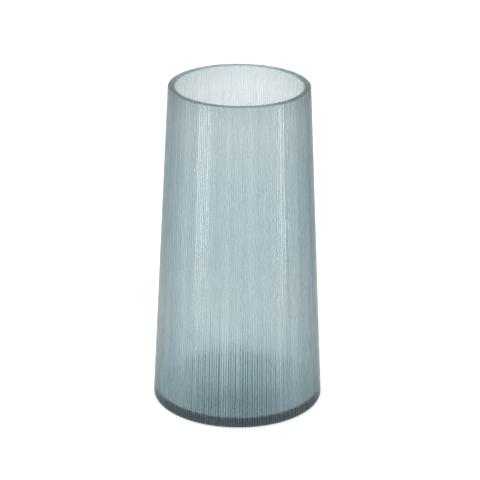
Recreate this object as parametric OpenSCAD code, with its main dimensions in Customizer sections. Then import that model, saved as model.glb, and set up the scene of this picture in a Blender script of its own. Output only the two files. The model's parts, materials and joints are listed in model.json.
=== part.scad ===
// Tapered glass vase, standing on its foot with its axis on +Z and the
// centre of its underside at the origin. Millimetres.
// The wall is a straight-sided tapered sleeve, ground flat and polished at the
// rim. It is fused by its lower end onto a thick flat disc, the base.
// The fine vertical lines cut into the outside of the wall are a surface
// finish and aren't drawn here.

/* [Overall] */
// Height from the table to the rim
height = 200; // [150:1:260]
// Outside diameter at the rim
mouth_d = 84.6; // [70:0.1:110]
// Outside diameter at the table, before the edge is rounded
foot_d = 104; // [90:0.1:130]

/* [Wall] */
// Wall thickness at the rim
rim_t = 4.2; // [3:0.1:6]
// Wall thickness just above the base
foot_t = 5; // [3:0.1:7]
// Radius of the fillet between the wall and the floor
floor_fillet = 1.6; // [0.8:0.1:3]

/* [Base] */
// Thickness of the base disc
base_t = 5; // [4:0.5:12]

/* [Ground edges] */
// Radius of the polished edges of the rim, outside and inside
rim_edge = 0.9; // [0.4:0.1:1.4]
// Radius of the ground edge under the foot
foot_edge = 2; // [0.5:0.1:3.5]

/* [Hidden] */
$fn = 180;
// Straight segments that make up each rounded edge
arc_n = 6;
// Tint of the glass
tint = [0.66, 0.77, 0.79, 0.55];
base_tint = [0.45, 0.58, 0.62, 0.75];

// Outside and inside radius of the vase at height z
function r_out(z) = (foot_d + (mouth_d - foot_d) * z / height) / 2;
function r_in(z) = r_out(z) - foot_t + (foot_t - rim_t) * (z - base_t) / (height - base_t);

// Points along an arc about c, of radius r, from angle a0 to a1
function arc(c, r, a0, a1) = [for (i = [0 : arc_n])
    let (a = a0 + (a1 - a0) * i / arc_n) [c[0] + r * cos(a), c[1] + r * sin(a)]];

// Angle by which the outside and the inside of the wall lean in from vertical
lean_out = atan((foot_d - mouth_d) / 2 / height);
lean_in = atan((r_in(base_t) - r_in(height)) / (height - base_t));

// Distance from a level face, along it, to the centre of an arc of radius r
// that is tangent to the face and to a side leaning by a
function set_in(r, a) = r * (1 + sin(a)) / cos(a);
function set_out(r, a) = r * (1 - sin(a)) / cos(a);

// Half section of the wall, from the joint with the base up the outside,
// over the rim and down the inside
module wall_section() {
    ro = r_out(height);
    ri = r_in(height);
    rf = r_in(base_t);
    c_out = [ro - set_out(rim_edge, lean_out), height - rim_edge];
    c_in = [ri + set_in(rim_edge, lean_in), height - rim_edge];
    c_floor = [rf - set_in(floor_fillet, lean_in), base_t + floor_fillet];
    polygon(concat(
        [[r_out(base_t), base_t]],
        arc(c_out, rim_edge, lean_out, 90),
        arc(c_in, rim_edge, 90, 180 + lean_in),
        arc(c_floor, floor_fillet, lean_in, -90)
    ));
}

// Half section of the base disc, with the ground edge under the foot
module base_section() {
    c = [foot_d / 2 - set_in(foot_edge, lean_out), foot_edge];
    polygon(concat(
        [[0, 0]],
        arc(c, foot_edge, -90, lean_out),
        [[r_out(base_t), base_t], [0, base_t]]
    ));
}

module wall() {
    color(tint) rotate_extrude() wall_section();
}

module base() {
    color(base_tint) rotate_extrude() base_section();
}

wall();
base();
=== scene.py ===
import json
import math

import bpy
import numpy as np
from mathutils import Matrix, Vector

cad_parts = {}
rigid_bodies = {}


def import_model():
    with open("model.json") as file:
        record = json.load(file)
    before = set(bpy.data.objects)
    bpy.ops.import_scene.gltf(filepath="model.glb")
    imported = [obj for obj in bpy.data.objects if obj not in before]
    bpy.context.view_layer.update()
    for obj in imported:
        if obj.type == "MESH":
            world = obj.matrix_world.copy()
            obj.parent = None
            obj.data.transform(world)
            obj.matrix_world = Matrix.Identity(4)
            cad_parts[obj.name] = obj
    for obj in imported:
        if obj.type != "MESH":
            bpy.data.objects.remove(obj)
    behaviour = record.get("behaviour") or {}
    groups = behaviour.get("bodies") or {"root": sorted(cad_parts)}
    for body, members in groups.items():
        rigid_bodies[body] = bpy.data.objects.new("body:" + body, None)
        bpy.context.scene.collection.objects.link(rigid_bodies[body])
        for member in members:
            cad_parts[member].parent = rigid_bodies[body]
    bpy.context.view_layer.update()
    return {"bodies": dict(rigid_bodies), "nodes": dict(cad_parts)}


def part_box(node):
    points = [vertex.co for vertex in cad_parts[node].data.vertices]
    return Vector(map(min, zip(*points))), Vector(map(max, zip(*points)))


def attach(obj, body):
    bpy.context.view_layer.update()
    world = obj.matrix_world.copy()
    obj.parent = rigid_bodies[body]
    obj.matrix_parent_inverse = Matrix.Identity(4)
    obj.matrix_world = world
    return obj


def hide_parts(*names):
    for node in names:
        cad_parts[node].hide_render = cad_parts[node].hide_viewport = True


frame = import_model()
rng = np.random.RandomState(41)
scene = bpy.context.scene

# ---------------------------------------------------------------- dimensions, read from the CAD frame
wall_lo, wall_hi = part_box("wall")
base_lo, base_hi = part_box("base")
H = wall_hi.z
BASE_T = base_hi.z


def rings(node):
    """(radius, height) of every ring of vertices of a turned CAD node."""
    co = np.array([v.co for v in frame["nodes"][node].data.vertices], float)
    return np.unique(np.round(np.c_[np.hypot(co[:, 0], co[:, 1]), co[:, 2]], 6), axis=0)


wall_rings = rings("wall")
on_base = wall_rings[np.abs(wall_rings[:, 1] - BASE_T) < 2e-6]
at_rim = wall_rings[wall_rings[:, 1] > H - 0.0015]
fillet_rings = wall_rings[(wall_rings[:, 1] > BASE_T + 1e-5) & (wall_rings[:, 1] < BASE_T + 0.004)]
out_low = on_base[on_base[:, 0].argmax()]
out_high = at_rim[at_rim[:, 0].argmax()]
in_high = at_rim[at_rim[:, 0].argmin()]
in_low = fillet_rings[fillet_rings[:, 1].argmax()]
floor_r = on_base[:, 0].min()
FILLET = in_low[1] - BASE_T
flat = at_rim[np.abs(at_rim[:, 1] - H) < 2e-6]
rim_out, rim_in = flat[:, 0].max(), flat[:, 0].min()
base_rings = rings("base")
foot_flat = base_rings[np.abs(base_rings[:, 1]) < 2e-6][:, 0].max()
foot_side = base_rings[base_rings[:, 1] < BASE_T - 1e-5]
foot_side = foot_side[foot_side[:, 0].argmax()]


def line(a, b):
    """Radius as a function of height through two (radius, height) points."""
    slope = (b[0] - a[0]) / (b[1] - a[1])
    return lambda z: a[0] + (z - a[1]) * slope


out_low[0] -= 0.00002  # the cut skin stays inside the CAD wall
out_high[0] -= 0.00002
foot_side[0] -= 0.00002
r_out = line(out_low, out_high)
r_in = line(in_low, in_high)


def bend(a, b, tangent_a, n):
    """n points after a, up to b, on a quadratic curve that leaves a along tangent_a and meets b square to it."""
    a, b, t = np.array(a, float), np.array(b, float), np.array(tangent_a, float)
    # control point: where the tangent at a reaches b's own flat line
    k = (b[1] - a[1]) / t[1] if abs(t[1]) > abs(t[0]) else (b[0] - a[0]) / t[0]
    c = a + t * k
    s = np.linspace(0, 1, n + 1)[1:, None]
    # a conic close to a circular arc
    w = 0.7071
    top = (1 - s) ** 2 * a + 2 * w * s * (1 - s) * c + s**2 * b
    return top / ((1 - s) ** 2 + 2 * w * s * (1 - s) + s**2)


# ---------------------------------------------------------------- the cut lines of the outer wall
N = 2188  # fine ring, about 10 points to a line
M = N // 4  # coarse ring
LINES = 219
theta = np.arange(N) * 2 * np.pi / N
pitch = 2 * np.pi / LINES
centre = (np.arange(LINES) + rng.uniform(-0.12, 0.12, LINES)) * pitch


def smooth_noise(n, reach, seed, wrap=True):
    """Noise from -1 to 1 along n samples, smoothed over about reach samples."""
    r = np.random.RandomState(seed)
    v = r.normal(size=n)
    k = np.exp(-0.5 * (np.arange(-3 * reach, 3 * reach + 1) / max(reach, 1e-6)) ** 2)
    if wrap:
        v = np.convolve(np.r_[v[-3 * reach :], v, v[: 3 * reach]], k, "same")[3 * reach : 3 * reach + n]
    else:
        v = np.convolve(v, k, "same")
    v -= v.mean()
    return np.clip(v / (2.0 * v.std()), -1, 1)


# bundles: strong lines come in runs, with clearer gaps between the runs
run = smooth_noise(LINES, 1, 7)
strength = np.clip(0.88 + 0.16 * run + rng.uniform(-0.10, 0.10, LINES), 0.50, 1.0)
half = pitch * np.clip(0.35 + 0.05 * run + rng.uniform(-0.05, 0.05, LINES), 0.25, 0.45)
depth = 0.000014 + 0.000034 * strength

ROWS = 28
zs = np.r_[
    foot_side[1],
    np.linspace(foot_side[1] + 0.0015, out_high[1] - 0.0015, ROWS - 2),
    out_high[1],
]
# how strongly each line is cut at each height
wander = np.array([smooth_noise(ROWS, 4, 100 + i, wrap=False) for i in range(LINES)])
along = np.clip(0.94 + 0.12 * wander, 0.60, 1.0)


def cut_at(row):
    """(depth, satin) round the ring at one row."""
    d = np.zeros(N)
    s = np.zeros(N)
    for i in range(LINES):
        first = int(math.floor((centre[i] - half[i]) / (2 * np.pi) * N))
        last = int(math.ceil((centre[i] + half[i]) / (2 * np.pi) * N))
        j = np.arange(first, last + 1)
        x = (j * 2 * np.pi / N - centre[i]) / half[i]
        inside = np.abs(x) < 1
        k = along[i, row]
        dj = np.where(inside, depth[i] * k * (1 - x * x), 0)
        sj = np.where(inside, strength[i] * k * np.clip((1 - np.abs(x)) * 3.5, 0, 1), 0)
        jj = j % N
        d[jj] = np.maximum(d[jj], dj)
        s[jj] = np.maximum(s[jj], sj)
    return d, s


# ---------------------------------------------------------------- the vase as one closed skin
ring_list = []  # (radii, heights, kind)


def add_ring(r, z, count, kind, satin=None):
    ring_list.append(
        (
            np.full(count, r) if np.isscalar(r) else r,
            np.full(count, z) if np.isscalar(z) else z,
            kind,
            np.zeros(count) if satin is None else satin,
        )
    )


OUTER, RIM, INNER, FLOOR, UNDER = 1.0, 0.6, 0.0, 0.0, 0.4
for f in (0.25, 0.6, 0.96):
    add_ring(foot_flat * f, 0.0, M, UNDER)
d0, s0 = cut_at(0)
add_ring(foot_flat, 0.0, N, UNDER)
slope = np.array([r_out(0.1) - r_out(0.0), 0.1])
slope /= np.linalg.norm(slope)
edge = bend(foot_side, (foot_flat, 0.0), -slope, 5)[::-1]
for i, (r, z) in enumerate(edge[1:]):
    f = (i + 1) / 5
    add_ring(r - d0 * f, z, N, OUTER, s0 * f)
for k, z in enumerate(zs):
    d, s = cut_at(k)
    add_ring(r_out(z) - d, z, N, OUTER, s)
dk, sk = cut_at(ROWS - 1)
for i, (r, z) in enumerate(bend(out_high, (rim_out, H), slope, 4)):
    f = 1 - (i + 1) / 4
    add_ring(r - dk * f, z, N, OUTER if i < 2 else RIM, sk * f)
mid = (rim_out + rim_in) / 2
add_ring(mid, H, M, RIM)
t_in = np.array([r_in(0.1) - r_in(0.0), 0.1])
t_in /= np.linalg.norm(t_in)
for r, z in bend(in_high, (rim_in, H), t_in, 4)[::-1]:
    add_ring(r, z, M, RIM)
add_ring(in_high[0], in_high[1], M, INNER)
mt = np.arange(M) * 2 * np.pi / M
for z in np.linspace(in_high[1], in_low[1], 10)[1:-1]:
    # the slight unevenness of a blown inside
    fade = math.sin(math.pi * (z - in_low[1]) / (in_high[1] - in_low[1])) ** 0.5
    wave = 0.00007 * (np.sin(3 * mt + 31 * z) + 0.6 * np.sin(5 * mt - 47 * z + 1.3) + 0.4 * np.sin(2 * mt + 63 * z + 2.1))
    add_ring(r_in(z) + fade * wave, z, M, INNER)
add_ring(in_low[0], in_low[1], M, INNER)
for r, z in bend(in_low, (floor_r, BASE_T), -t_in, 6):
    add_ring(r, z, M, INNER)
for f in (0.9, 0.6, 0.3):
    add_ring(floor_r * f, BASE_T, M, FLOOR)

verts, kinds, satins, starts = [], [], [], []
for r, z, kind, satin in ring_list:
    starts.append(sum(len(v) for v in verts))
    n = len(r)
    a = np.arange(n) * 2 * np.pi / n
    verts.append(np.c_[r * np.cos(a), r * np.sin(a), z])
    kinds.append(np.full(n, kind))
    satins.append(satin)
low_centre = sum(len(v) for v in verts)
verts.append(np.array([[0, 0, 0.0], [0, 0, BASE_T]]))
kinds.append(np.array([UNDER, FLOOR]))
satins.append(np.zeros(2))
co = np.concatenate(verts)
kinds = np.concatenate(kinds)
satins = np.concatenate(satins)

faces = []
for k in range(len(ring_list) - 1):
    a, b = starts[k], starts[k + 1]
    na, nb = len(ring_list[k][0]), len(ring_list[k + 1][0])
    if na == nb:
        j = np.arange(na)
        j1 = (j + 1) % na
        faces += np.c_[a + j, a + j1, b + j1, b + j].tolist()
    elif na < nb:  # coarse, then fine
        for j in range(na):
            j1 = (j + 1) % na
            f = [b + (4 * j + i) % nb for i in range(5)]
            faces += [[a + j, f[1], f[0]], [a + j, f[2], f[1]], [a + j, a + j1, f[2]], [a + j1, f[3], f[2]], [a + j1, f[4], f[3]]]
    else:  # fine, then coarse
        for j in range(nb):
            j1 = (j + 1) % nb
            f = [a + (4 * j + i) % na for i in range(5)]
            faces += [[b + j, f[0], f[1]], [b + j, f[1], f[2]], [b + j, f[2], b + j1], [b + j1, f[2], f[3]], [b + j1, f[3], f[4]]]
for j in range(M):
    j1 = (j + 1) % M
    faces.append([low_centre, starts[0] + j1, starts[0] + j])
    faces.append([low_centre + 1, starts[-1] + j, starts[-1] + j1])

mesh = bpy.data.meshes.new("glass_vase")
mesh.from_pydata(co.tolist(), [], faces)
mesh.update()
mesh.polygons.foreach_set("use_smooth", np.ones(len(mesh.polygons), bool))
for name, values in (("side", kinds), ("cut", satins)):
    attribute = mesh.attributes.new(name, "FLOAT", "POINT")
    attribute.data.foreach_set("value", values.astype(np.float32))
vase = bpy.data.objects.new("glass_vase", mesh)
scene.collection.objects.link(vase)
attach(vase, "root" if "root" in frame["bodies"] else sorted(frame["bodies"])[0])
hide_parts("wall", "base")


# ---------------------------------------------------------------- materials
def new_material(name):
    m = bpy.data.materials.new(name)
    m.use_nodes = True
    nt = m.node_tree
    nt.nodes.clear()
    return m, nt


def node(nt, kind, at=(0, 0), **settings):
    n = nt.nodes.new(kind)
    n.location = at
    for k, v in settings.items():
        setattr(n, k, v)
    return n


def math_node(nt, op, a, b=None, clamp=False):
    n = node(nt, "ShaderNodeMath", operation=op, use_clamp=clamp)
    for i, x in enumerate((a, b)):
        if x is None:
            continue
        if isinstance(x, (int, float)):
            n.inputs[i].default_value = x
        else:
            nt.links.new(x, n.inputs[i])
    return n.outputs[0]


glass, nt = new_material("cut_glass")
out = node(nt, "ShaderNodeOutputMaterial", (900, 0))
bsdf = node(nt, "ShaderNodeBsdfPrincipled", (500, 0))
nt.links.new(bsdf.outputs[0], out.inputs["Surface"])
bsdf.inputs["IOR"].default_value = 1.5
absorb = node(nt, "ShaderNodeVolumeAbsorption", (500, -500))
absorb.inputs["Color"].default_value = (0.15, 0.43, 0.49, 1)
absorb.inputs["Density"].default_value = 105.0
nt.links.new(absorb.outputs[0], out.inputs["Volume"])

side = node(nt, "ShaderNodeAttribute", (-900, 200), attribute_name="side")
cut = node(nt, "ShaderNodeAttribute", (-900, 0), attribute_name="cut")
outer = math_node(nt, "GREATER_THAN", side.outputs["Fac"], 0.8)

# streak coordinates: position divided by the wall's radius, so that a streak follows the wall's own slope
tc = node(nt, "ShaderNodeTexCoord", (-1600, -300))
sep = node(nt, "ShaderNodeSeparateXYZ", (-1400, -300))
nt.links.new(tc.outputs["Object"], sep.inputs[0])
x, y, z = sep.outputs
radius = math_node(nt, "SQRT", math_node(nt, "ADD", math_node(nt, "MULTIPLY", x, x), math_node(nt, "MULTIPLY", y, y)))
ux = math_node(nt, "DIVIDE", x, radius)
uy = math_node(nt, "DIVIDE", y, radius)


def streaks(scale, z_scale, detail, rough=0.6):
    comb = node(nt, "ShaderNodeCombineXYZ")
    nt.links.new(ux, comb.inputs[0])
    nt.links.new(uy, comb.inputs[1])
    nt.links.new(math_node(nt, "MULTIPLY", z, z_scale), comb.inputs[2])
    n = node(nt, "ShaderNodeTexNoise")
    n.inputs["Scale"].default_value = scale
    n.inputs["Detail"].default_value = detail
    n.inputs["Roughness"].default_value = rough
    nt.links.new(comb.outputs[0], n.inputs["Vector"])
    return n.outputs["Fac"]


def remap(v, a0, a1, b0, b1):
    m = node(nt, "ShaderNodeMapRange")
    nt.links.new(v, m.inputs["Value"])
    for k, t in zip(("From Min", "From Max", "To Min", "To Max"), (a0, a1, b0, b1)):
        m.inputs[k].default_value = t
    return m.outputs[0]


fine = streaks(170.0, 0.05, 1.0)  # hair lines, about 0.3 mm apart
satin = math_node(nt, "MULTIPLY", cut.outputs["Fac"], remap(fine, 0.3, 0.7, 0.75, 1.25))
satin = math_node(nt, "MULTIPLY", satin, outer)

rough_out = math_node(nt, "ADD", 0.10, math_node(nt, "MULTIPLY", satin, 0.85))
rim = math_node(nt, "SUBTRACT", 1.0, math_node(nt, "MULTIPLY", math_node(nt, "ABSOLUTE", math_node(nt, "SUBTRACT", side.outputs["Fac"], 0.6)), 4.0), clamp=True)
rim = math_node(nt, "MULTIPLY", rim, math_node(nt, "GREATER_THAN", z, 0.1))
rough = node(nt, "ShaderNodeMix", data_type="FLOAT")
nt.links.new(outer, rough.inputs[0])
nt.links.new(math_node(nt, "ADD", math_node(nt, "MULTIPLY", rim, 0.25), 0.03), rough.inputs[2])
nt.links.new(rough_out, rough.inputs[3])
nt.links.new(rough.outputs[0], bsdf.inputs["Roughness"])
# how milky the cut lines are, by height above the table (mm, share)
HAZE = ((0, 0.035), (6.1, 0.035), (7.2, 0.16), (18, 0.13), (29, 0.20), (40, 0.26), (50, 0.30), (64, 0.34), (75, 0.34), (90, 0.30), (115, 0.23), (155, 0.19), (180, 0.19), (200, 0.19))
BLOOM = 0.22
curve = node(nt, "ShaderNodeFloatCurve")
points = curve.mapping.curves[0].points
for k, (mm, share) in enumerate(HAZE):
    at = (mm * 0.001 / H, share)
    if k == 0:
        points[0].location = at
    elif k == len(HAZE) - 1:
        points[-1].location = at
    else:
        points.new(*at)
for p in points:
    p.handle_type = "VECTOR"
curve.mapping.update()
nt.links.new(math_node(nt, "DIVIDE", z, H), curve.inputs["Value"])
# the milkiness is more even from line to line higher up, where the cutter pressed less
evened = remap(z, 0.060, 0.100, 0.0, 0.75)
even = math_node(nt, "SUBTRACT", math_node(nt, "MULTIPLY", outer, 0.50), satin)
milky = math_node(nt, "ADD", satin, math_node(nt, "MULTIPLY", even, evened))
haze = math_node(nt, "MULTIPLY", milky, curve.outputs[0])
haze = math_node(nt, "MULTIPLY", haze, remap(streaks(9.0, 0.05, 2.0), 0.35, 0.65, 0.80, 1.20))  # milkier and clearer bundles
# the cutter bore a little harder on one side of the mouth than on the other
lean = math_node(nt, "MULTIPLY", math_node(nt, "MULTIPLY", uy, -0.5), remap(z, 0.150, 0.190, 0.0, 1.0))
haze = math_node(nt, "MULTIPLY", haze, math_node(nt, "ADD", lean, 1.0))
# a thin bloom on the inside near the mouth
inside_wall = math_node(nt, "LESS_THAN", side.outputs["Fac"], 0.2)
bloom = math_node(nt, "MULTIPLY", remap(z, 0.130, 0.195, 0.0, BLOOM), inside_wall)
bloom = math_node(nt, "MULTIPLY", bloom, remap(streaks(48.0, 0.05, 2.0), 0.36, 0.64, 0.0, 2.0))
bloom = math_node(nt, "MULTIPLY", bloom, math_node(nt, "ADD", math_node(nt, "MULTIPLY", uy, 0.6), 0.8))
haze = math_node(nt, "ADD", haze, bloom)
foot_haze = math_node(nt, "MULTIPLY", outer, remap(z, 0.0061, 0.0070, 0.032, 0.0))
haze = math_node(nt, "ADD", haze, foot_haze)
nt.links.new(math_node(nt, "SUBTRACT", 1.0, haze, clamp=True), bsdf.inputs["Transmission Weight"])


def mix_colour(factor, a, b):
    m = node(nt, "ShaderNodeMix", data_type="RGBA")
    nt.links.new(factor, m.inputs["Factor"])
    for key, v in (("A", a), ("B", b)):
        if isinstance(v, tuple):
            m.inputs[key].default_value = (*v, 1)
        else:
            nt.links.new(v, m.inputs[key])
    return m.outputs["Result"]


# painted light: the outer foot band below about 7 mm is coloured blue, standing in for the blue light that the thick
# base glass carries to it
colour = mix_colour(math_node(nt, "MULTIPLY", outer, remap(z, 0.0061, 0.0070, 1.0, 0.0)), (0.93, 0.93, 0.93), (0.58, 0.86, 0.98))
colour = mix_colour(math_node(nt, "MULTIPLY", satin, remap(z, 0.0061, 0.0070, 0.0, 1.0), clamp=True), colour, (0.89, 0.96, 0.96))
# painted warm light: the inside of the wall near the mouth is tinted warm, most on the back side, standing in for warm
# light on the inner wall
painted_warm_light = math_node(nt, "MULTIPLY", remap(z, 0.120, 0.190, 0.0, 1.0), math_node(nt, "ADD", math_node(nt, "MULTIPLY", uy, 0.25), 0.75))
colour = mix_colour(math_node(nt, "MULTIPLY", inside_wall, painted_warm_light), colour, (1.0, 0.89, 0.87))
# painted shade: the top 13 mm of the wall darkens towards grey teal near the rim, and the rim itself is painted grey
# teal, standing in for the shade of the long light path down through the wall
colour = mix_colour(remap(z, 0.186, 0.199, 0.0, 0.35), colour, (0.52, 0.62, 0.63))
colour = mix_colour(rim, colour, (0.55, 0.61, 0.62))
nt.links.new(colour, bsdf.inputs["Base Color"])

bump = node(nt, "ShaderNodeBump", (200, -300))
bump.inputs["Strength"].default_value = 1.0
bump.inputs["Distance"].default_value = 0.000004
nt.links.new(math_node(nt, "MULTIPLY", fine, outer), bump.inputs["Height"])
nt.links.new(bump.outputs[0], bsdf.inputs["Normal"])
mesh.materials.append(glass)

# ---------------------------------------------------------------- a white table, lit from above and self-lit a little, with painted shade under the foot and a painted shadow behind it
table_mesh = bpy.data.meshes.new("table")
TW, TF, TB = 6.0, -6.0, 6.0
table_mesh.from_pydata([(-TW, TF, 0), (TW, TF, 0), (TW, TB, 0), (-TW, TB, 0)], [], [(0, 1, 2, 3)])
table = bpy.data.objects.new("table", table_mesh)
scene.collection.objects.link(table)
table.location.z = -0.0002
table.visible_glossy = False
fm, ft = new_material("white_table")
fo = node(ft, "ShaderNodeOutputMaterial", (300, 0))
fb = node(ft, "ShaderNodeBsdfPrincipled")
fb.inputs["Base Color"].default_value = (0.58, 0.58, 0.58, 1)
fb.inputs["Roughness"].default_value = 0.9
fb.inputs["Specular IOR Level"].default_value = 0.0
fb.inputs["Emission Strength"].default_value = 1.0
fc = node(ft, "ShaderNodeTexCoord")
fl = node(ft, "ShaderNodeVectorMath", operation="LENGTH")
ft.links.new(fc.outputs["Object"], fl.inputs[0])
# mask of the painted shade under the foot: 0 under it, 1 beyond it
fg = node(ft, "ShaderNodeMapRange", interpolation_type="SMOOTHSTEP")
ft.links.new(fl.outputs["Value"], fg.inputs["Value"])
for k, t in zip(("From Min", "From Max", "To Min", "To Max"), (foot_flat - 0.008, foot_flat + 0.003, 0.0, 1.0)):
    fg.inputs[k].default_value = t
fe = node(ft, "ShaderNodeMix", data_type="RGBA")
# and a painted soft shadow lies a little way behind it, as a darker self-lit patch
fv = node(ft, "ShaderNodeVectorMath", operation="DISTANCE")
ft.links.new(fc.outputs["Object"], fv.inputs[0])
fv.inputs[1].default_value = (-0.002, 0.032, 0.0)
fh = node(ft, "ShaderNodeMapRange", interpolation_type="SMOOTHSTEP")
ft.links.new(fv.outputs["Value"], fh.inputs["Value"])
for k, t in zip(("From Min", "From Max", "To Min", "To Max"), (0.034, 0.046, 0.0, 1.0)):
    fh.inputs[k].default_value = t
ft.links.new(math_node(ft, "MULTIPLY", fg.outputs[0], fh.outputs[0]), fe.inputs["Factor"])
# painted shade under the foot: a dark blue-green self-lit patch, darker towards the front and painted lighter grey
# towards the sides, standing in for the table getting light only through the glass, mostly from behind
fs = node(ft, "ShaderNodeSeparateXYZ")
ft.links.new(fc.outputs["Object"], fs.inputs[0])
fy = node(ft, "ShaderNodeMapRange")
fx = math_node(ft, "MULTIPLY", math_node(ft, "MULTIPLY", fs.outputs[0], fs.outputs[0]), 25.0)
ft.links.new(math_node(ft, "ADD", fs.outputs[1], fx), fy.inputs["Value"])
for k, t in zip(("From Min", "From Max"), (-0.02, 0.04)):
    fy.inputs[k].default_value = t
fu = node(ft, "ShaderNodeMix", data_type="RGBA")
ft.links.new(fy.outputs[0], fu.inputs["Factor"])
fu.inputs["A"].default_value = (0.0, 0.11, 0.13, 1)
fu.inputs["B"].default_value = (0.07, 0.28, 0.32, 1)
fk2 = node(ft, "ShaderNodeMapRange", interpolation_type="SMOOTHSTEP")
ft.links.new(math_node(ft, "ABSOLUTE", fs.outputs[0]), fk2.inputs["Value"])
for k, t in zip(("From Min", "From Max", "To Min", "To Max"), (0.014, 0.044, 0.0, 1.0)):
    fk2.inputs[k].default_value = t
fw = node(ft, "ShaderNodeMix", data_type="RGBA")
ft.links.new(fk2.outputs[0], fw.inputs["Factor"])
ft.links.new(fu.outputs["Result"], fw.inputs["A"])
fw.inputs["B"].default_value = (0.60, 0.60, 0.60, 1)
# out beyond the foot the painted shadow is greyer
fn = node(ft, "ShaderNodeMapRange", interpolation_type="SMOOTHSTEP")
ft.links.new(fl.outputs["Value"], fn.inputs["Value"])
for k, t in zip(("From Min", "From Max", "To Min", "To Max"), (foot_flat - 0.004, foot_flat + 0.008, 0.0, 1.0)):
    fn.inputs[k].default_value = t
fq = node(ft, "ShaderNodeMix", data_type="RGBA")
ft.links.new(fn.outputs[0], fq.inputs["Factor"])
ft.links.new(fw.outputs["Result"], fq.inputs["A"])
fq.inputs["B"].default_value = (0.19, 0.25, 0.27, 1)
ft.links.new(fq.outputs["Result"], fe.inputs["A"])
fe.inputs["B"].default_value = (0.54, 0.54, 0.54, 1)
ft.links.new(fe.outputs["Result"], fb.inputs["Emission Color"])
ft.links.new(fb.outputs[0], fo.inputs["Surface"])
table_mesh.materials.append(fm)

# the studio round it: a white backdrop behind, a dimmer room in front, a soft light overhead and a tall strip light on each side
world = bpy.data.worlds.new("studio")
scene.world = world
world.use_nodes = True
wt = world.node_tree
wt.nodes.clear()
wo = node(wt, "ShaderNodeOutputWorld", (600, 0))
bg = node(wt, "ShaderNodeBackground", (400, 0))
wt.links.new(bg.outputs[0], wo.inputs["Surface"])
wc = node(wt, "ShaderNodeTexCoord")
ws = node(wt, "ShaderNodeSeparateXYZ")
wt.links.new(wc.outputs["Generated"], ws.inputs[0])
azimuth = math_node(wt, "ARCTAN2", ws.outputs[0], math_node(wt, "MULTIPLY", ws.outputs[1], -1.0))  # 0 towards -Y, the camera's side
height = ws.outputs[2]


def ramp(v, a0, a1, b0, b1):
    m = node(wt, "ShaderNodeMapRange", interpolation_type="SMOOTHSTEP")
    wt.links.new(v, m.inputs["Value"])
    for k, t in zip(("From Min", "From Max", "To Min", "To Max"), (a0, a1, b0, b1)):
        m.inputs[k].default_value = t
    return m.outputs[0]


def strip(at_deg, half_deg, soft_deg, low, high, power):
    off = math_node(wt, "ABSOLUTE", math_node(wt, "SUBTRACT", azimuth, math.radians(at_deg)))
    across = ramp(off, math.radians(half_deg), math.radians(half_deg + soft_deg), power, 0.0)
    up = math_node(wt, "MULTIPLY", ramp(height, low - 0.06, low, 0, 1), ramp(height, high, high + 0.06, 1, 0))
    return math_node(wt, "MULTIPLY", across, up)


turned = math_node(wt, "ABSOLUTE", azimuth)
back = ramp(turned, math.radians(85), math.radians(115), 0, 1)
low_band = math_node(wt, "MAXIMUM", ramp(height, 0.06, 0.16, 1, 0), back)
room = ramp(low_band, 0, 1, 0.35, 1.06)
under = ramp(height, -0.10, -0.05, 1, 0)
# below the horizon, seen only in reflections: grey, with a darker gap on each side
gap = math_node(wt, "ADD",
    ramp(math_node(wt, "ABSOLUTE", math_node(wt, "SUBTRACT", azimuth, math.radians(-110))), math.radians(12), math.radians(28), 1, 0),
    ramp(math_node(wt, "ABSOLUTE", math_node(wt, "SUBTRACT", azimuth, math.radians(122))), math.radians(14), math.radians(30), 1, 0))
gap = math_node(wt, "MULTIPLY", gap, ramp(height, -0.41, -0.36, 0, 0.46))
lighter = math_node(wt, "ADD", ramp(height, -0.43, -0.36, 0.72, 0.50), ramp(turned, math.radians(138), math.radians(158), 0, 0.35))
level = math_node(wt, "MULTIPLY", under, math_node(wt, "SUBTRACT", lighter, gap))
room = math_node(wt, "ADD", math_node(wt, "MULTIPLY", room, math_node(wt, "SUBTRACT", 1.0, under)), level)
# a soft light overhead
softbox = ramp(height, 0.75, 0.90, 0.0, 0.9)
light = math_node(wt, "ADD", room, softbox)
light = math_node(wt, "ADD", light, strip(-20, 40, 25, 0.20, 0.70, 2.0))
light = math_node(wt, "ADD", light, strip(-56, 7, 5, -0.29, -0.08, 7.5))
light = math_node(wt, "ADD", light, strip(66, 8, 6, -0.29, -0.08, 8.5))
bg.inputs["Color"].default_value = (1.0, 1.0, 1.0, 1)
wt.links.new(light, bg.inputs["Strength"])

cam_data = bpy.data.cameras.new("camera")
cam_data.sensor_width = 36.0
cam_data.lens = 163.69
cam = bpy.data.objects.new("camera", cam_data)
scene.collection.objects.link(cam)
cam.location = (0.0, -1.22514, 0.59957)
pitch_down, yaw, roll = 0.38622, 0.0008, 0.0076
cam.rotation_mode = "QUATERNION"
look = Vector((math.sin(yaw) * math.cos(pitch_down), math.cos(yaw) * math.cos(pitch_down), -math.sin(pitch_down)))
aim = look.to_track_quat("-Z", "Y")
cam.rotation_quaternion = aim @ Matrix.Rotation(roll, 4, "Z").to_quaternion()
cam_data.clip_start, cam_data.clip_end = 0.01, 50
scene.camera = cam

scene.view_settings.view_transform = "Standard"
scene.cycles.sample_clamp_indirect = 1.2
scene.cycles.max_bounces = 32
scene.cycles.transmission_bounces = 32
scene.cycles.glossy_bounces = 16
scene.cycles.diffuse_bounces = 6
